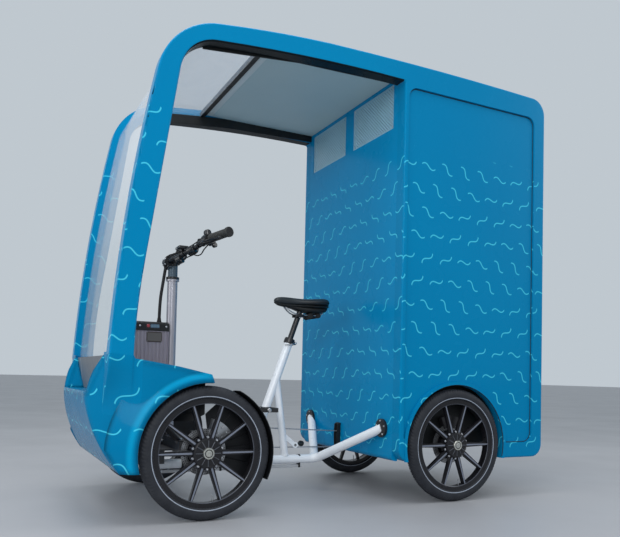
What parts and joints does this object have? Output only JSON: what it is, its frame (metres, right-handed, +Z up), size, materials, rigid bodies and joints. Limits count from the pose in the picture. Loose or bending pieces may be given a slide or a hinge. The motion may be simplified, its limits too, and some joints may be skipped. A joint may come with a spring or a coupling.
{
  "type": "electric cargo bike",
  "caption": "Four-wheel pedal-assist cargo bike with a half-open rider cab under a roof hoop and a closed box body behind.",
  "frame": {"origin": "centre of the bounding box footprint, on the ground", "axes": "+X forward, +Y to the rider's left, +Z up"},
  "size_m": [2.15, 1.024, 1.972],
  "materials": {
    "teal_shell": "glossy painted glass-fibre",
    "clear_screen": "clear polycarbonate",
    "grey_panel": "satin",
    "pale_panel": "satin",
    "black_trim": "satin",
    "white_frame": "gloss powder coat",
    "black_metal": "satin powder coat",
    "silver": "brushed",
    "steel": "bright",
    "tyre_rubber": "matte with a pale ring",
    "black_rubber": "matte",
    "saddle_skin": "satin",
    "lamp_red": "lens",
    "white_grille": "satin"
  },
  "bodies": {
    "chassis": {"left_body_side": "teal_shell", "right_body_side": "teal_shell", "nose": "teal_shell", "screen_base": "grey_panel", "windscreen": "clear_screen", "roof_frame": "black_trim", "roof_panel": "pale_panel", "box_front_wall": "teal_shell", "vent_grilles": "white_grille", "box_floor": "pale_panel", "box_roof": "teal_shell", "rear_lamps": "lamp_red", "rear_arch_liners": "black_trim", "spine_frame": "white_frame", "frame_mounts": "black_metal", "seat_post": "black_metal", "saddle": "saddle_skin", "front_subframe": "black_metal", "column_tube": "silver", "battery_case": "silver", "battery_cap": "black_trim", "cable_loom": "black_rubber", "rear_subframe": "black_metal", "chain": "steel"},
    "left_door": {"left_rear_door": "teal_shell"},
    "right_door": {"right_rear_door": "teal_shell"},
    "steering": {"handlebar": "black_metal", "grips_and_controls": "black_rubber"},
    "left_steer": {"left_knuckle": "black_metal", "left_mudguard": "black_trim"},
    "right_steer": {"right_knuckle": "black_metal", "right_mudguard": "black_trim"},
    "track_rod": {"tie_rod": "steel"},
    "left_front_roller": {"left_front_tyre": "tyre_rubber", "left_front_wheel": "black_metal"},
    "right_front_roller": {"right_front_tyre": "tyre_rubber", "right_front_wheel": "black_metal"},
    "left_rear_roller": {"left_rear_tyre": "tyre_rubber", "left_rear_wheel": "black_metal"},
    "right_rear_roller": {"right_rear_tyre": "tyre_rubber", "right_rear_wheel": "black_metal"},
    "crank": {"crankset": "black_metal"},
    "left_foot_pedal": {"left_pedal": "black_trim"},
    "right_foot_pedal": {"right_pedal": "black_trim"},
    "sprocket": {"rear_sprocket": "steel"}
  },
  "joints": [
    {"name": "steering_turn", "type": "hinge", "parent": "chassis", "child": "steering", "pos_m": [0.666, 0, 1], "axis": [0, 0, 1], "range_deg": [-32, 32]},
    {"name": "left_king_pin", "type": "hinge", "parent": "chassis", "child": "left_steer", "pos_m": [0.641, 0.385, 0.257], "axis": [0, 0, 1], "range_deg": [-32, 32]},
    {"name": "right_king_pin", "type": "hinge", "parent": "chassis", "child": "right_steer", "pos_m": [0.641, -0.385, 0.257], "axis": [0, 0, 1], "range_deg": [-32, 32]},
    {"name": "tie_rod_swing", "type": "hinge", "parent": "left_steer", "child": "track_rod", "pos_m": [0.571, 0.385, 0.207], "axis": [0, 0, 1], "range_deg": [-32, 32]},
    {"name": "left_front_spin", "type": "hinge", "parent": "left_steer", "child": "left_front_roller", "pos_m": [0.641, 0.473, 0.257], "axis": [0, 1, 0], "continuous": true},
    {"name": "right_front_spin", "type": "hinge", "parent": "right_steer", "child": "right_front_roller", "pos_m": [0.641, -0.473, 0.257], "axis": [0, 1, 0], "continuous": true},
    {"name": "left_rear_spin", "type": "hinge", "parent": "chassis", "child": "left_rear_roller", "pos_m": [-0.544, 0.473, 0.257], "axis": [0, 1, 0], "continuous": true},
    {"name": "right_rear_spin", "type": "hinge", "parent": "chassis", "child": "right_rear_roller", "pos_m": [-0.544, -0.473, 0.257], "axis": [0, 1, 0], "continuous": true},
    {"name": "crank_spin", "type": "hinge", "parent": "chassis", "child": "crank", "pos_m": [0.3299, 0, 0.262], "axis": [0, 1, 0], "continuous": true},
    {"name": "left_pedal_spin", "type": "hinge", "parent": "crank", "child": "left_foot_pedal", "pos_m": [0.2499, 0.12, 0.40056], "axis": [0, 1, 0], "continuous": true},
    {"name": "right_pedal_spin", "type": "hinge", "parent": "crank", "child": "right_foot_pedal", "pos_m": [0.4099, -0.12, 0.12344], "axis": [0, 1, 0], "continuous": true},
    {"name": "sprocket_spin", "type": "hinge", "parent": "chassis", "child": "sprocket", "pos_m": [-0.3, -0.045, 0.24], "axis": [0, 1, 0], "continuous": true},
    {"name": "left_door_swing", "type": "hinge", "parent": "chassis", "child": "left_door", "pos_m": [-1.071, 0.4385, 1.13], "axis": [0, 0, 1], "range_deg": [-165, 0]},
    {"name": "right_door_swing", "type": "hinge", "parent": "chassis", "child": "right_door", "pos_m": [-1.071, -0.4385, 1.13], "axis": [0, 0, 1], "range_deg": [0, 165]}
  ],
  "couplings": [
    {"joint": "left_king_pin", "follows": "steering_turn", "ratio": 1},
    {"joint": "right_king_pin", "follows": "steering_turn", "ratio": 1},
    {"joint": "tie_rod_swing", "follows": "steering_turn", "ratio": -1},
    {"joint": "sprocket_spin", "follows": "crank_spin", "ratio": 1.3158}
  ]
}
